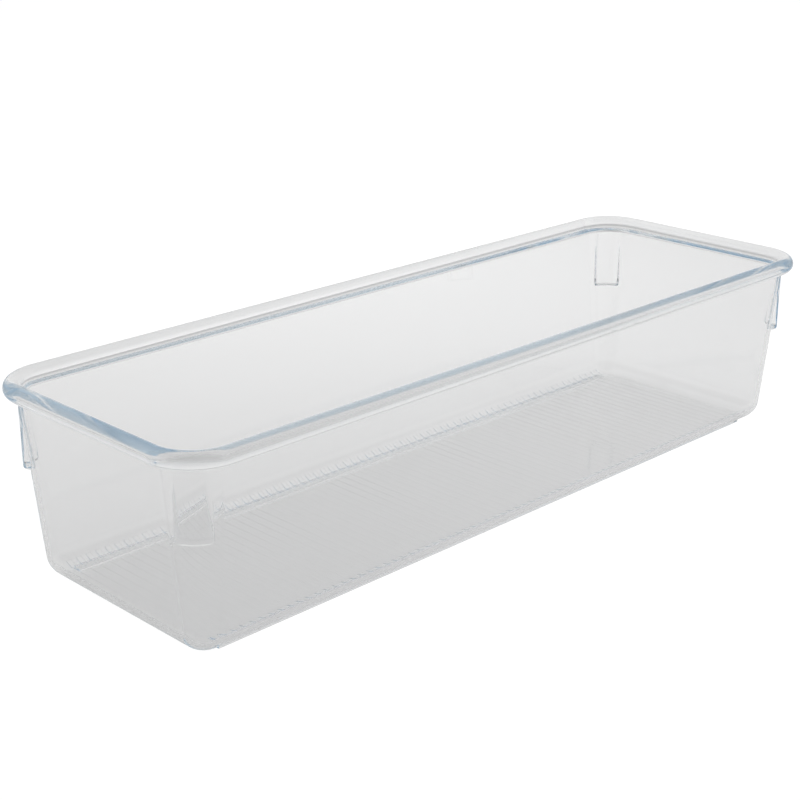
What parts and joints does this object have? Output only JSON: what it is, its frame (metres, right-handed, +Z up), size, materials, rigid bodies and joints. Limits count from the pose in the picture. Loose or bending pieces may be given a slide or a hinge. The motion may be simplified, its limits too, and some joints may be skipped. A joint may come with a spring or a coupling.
{
  "type": "clear organizer bin",
  "caption": "Long narrow open-topped bin of clear plastic with drafted walls, round corners, a beaded rim, corner nesting lugs, foot rails and a finely ribbed floor, for sorting small things.",
  "frame": {"origin": "on the table, under the middle of the bin", "axes": "+X along the bin to its right end, -Y to its front long side, +Z up out of its mouth"},
  "size_m": [0.3, 0.1, 0.0672],
  "materials": {
    "clear_plastic": "gloss, clear with a faint blue body colour"
  },
  "bodies": {
    "root": {"floor_panel": "clear_plastic", "floor_ribs": "clear_plastic", "right_end_wall": "clear_plastic", "back_wall": "clear_plastic", "left_end_wall": "clear_plastic", "front_wall": "clear_plastic", "rim_right_end": "clear_plastic", "rim_back": "clear_plastic", "rim_left_end": "clear_plastic", "rim_front": "clear_plastic", "corner_back_right": "clear_plastic", "corner_back_left": "clear_plastic", "corner_front_left": "clear_plastic", "corner_front_right": "clear_plastic", "rim_corner_back_right": "clear_plastic", "rim_corner_back_left": "clear_plastic", "rim_corner_front_left": "clear_plastic", "rim_corner_front_right": "clear_plastic", "nesting_lug_back_right": "clear_plastic", "nesting_lug_back_left": "clear_plastic", "nesting_lug_front_left": "clear_plastic", "nesting_lug_front_right": "clear_plastic", "foot_rail_front": "clear_plastic", "foot_rail_back": "clear_plastic"}
  },
  "joints": []
}
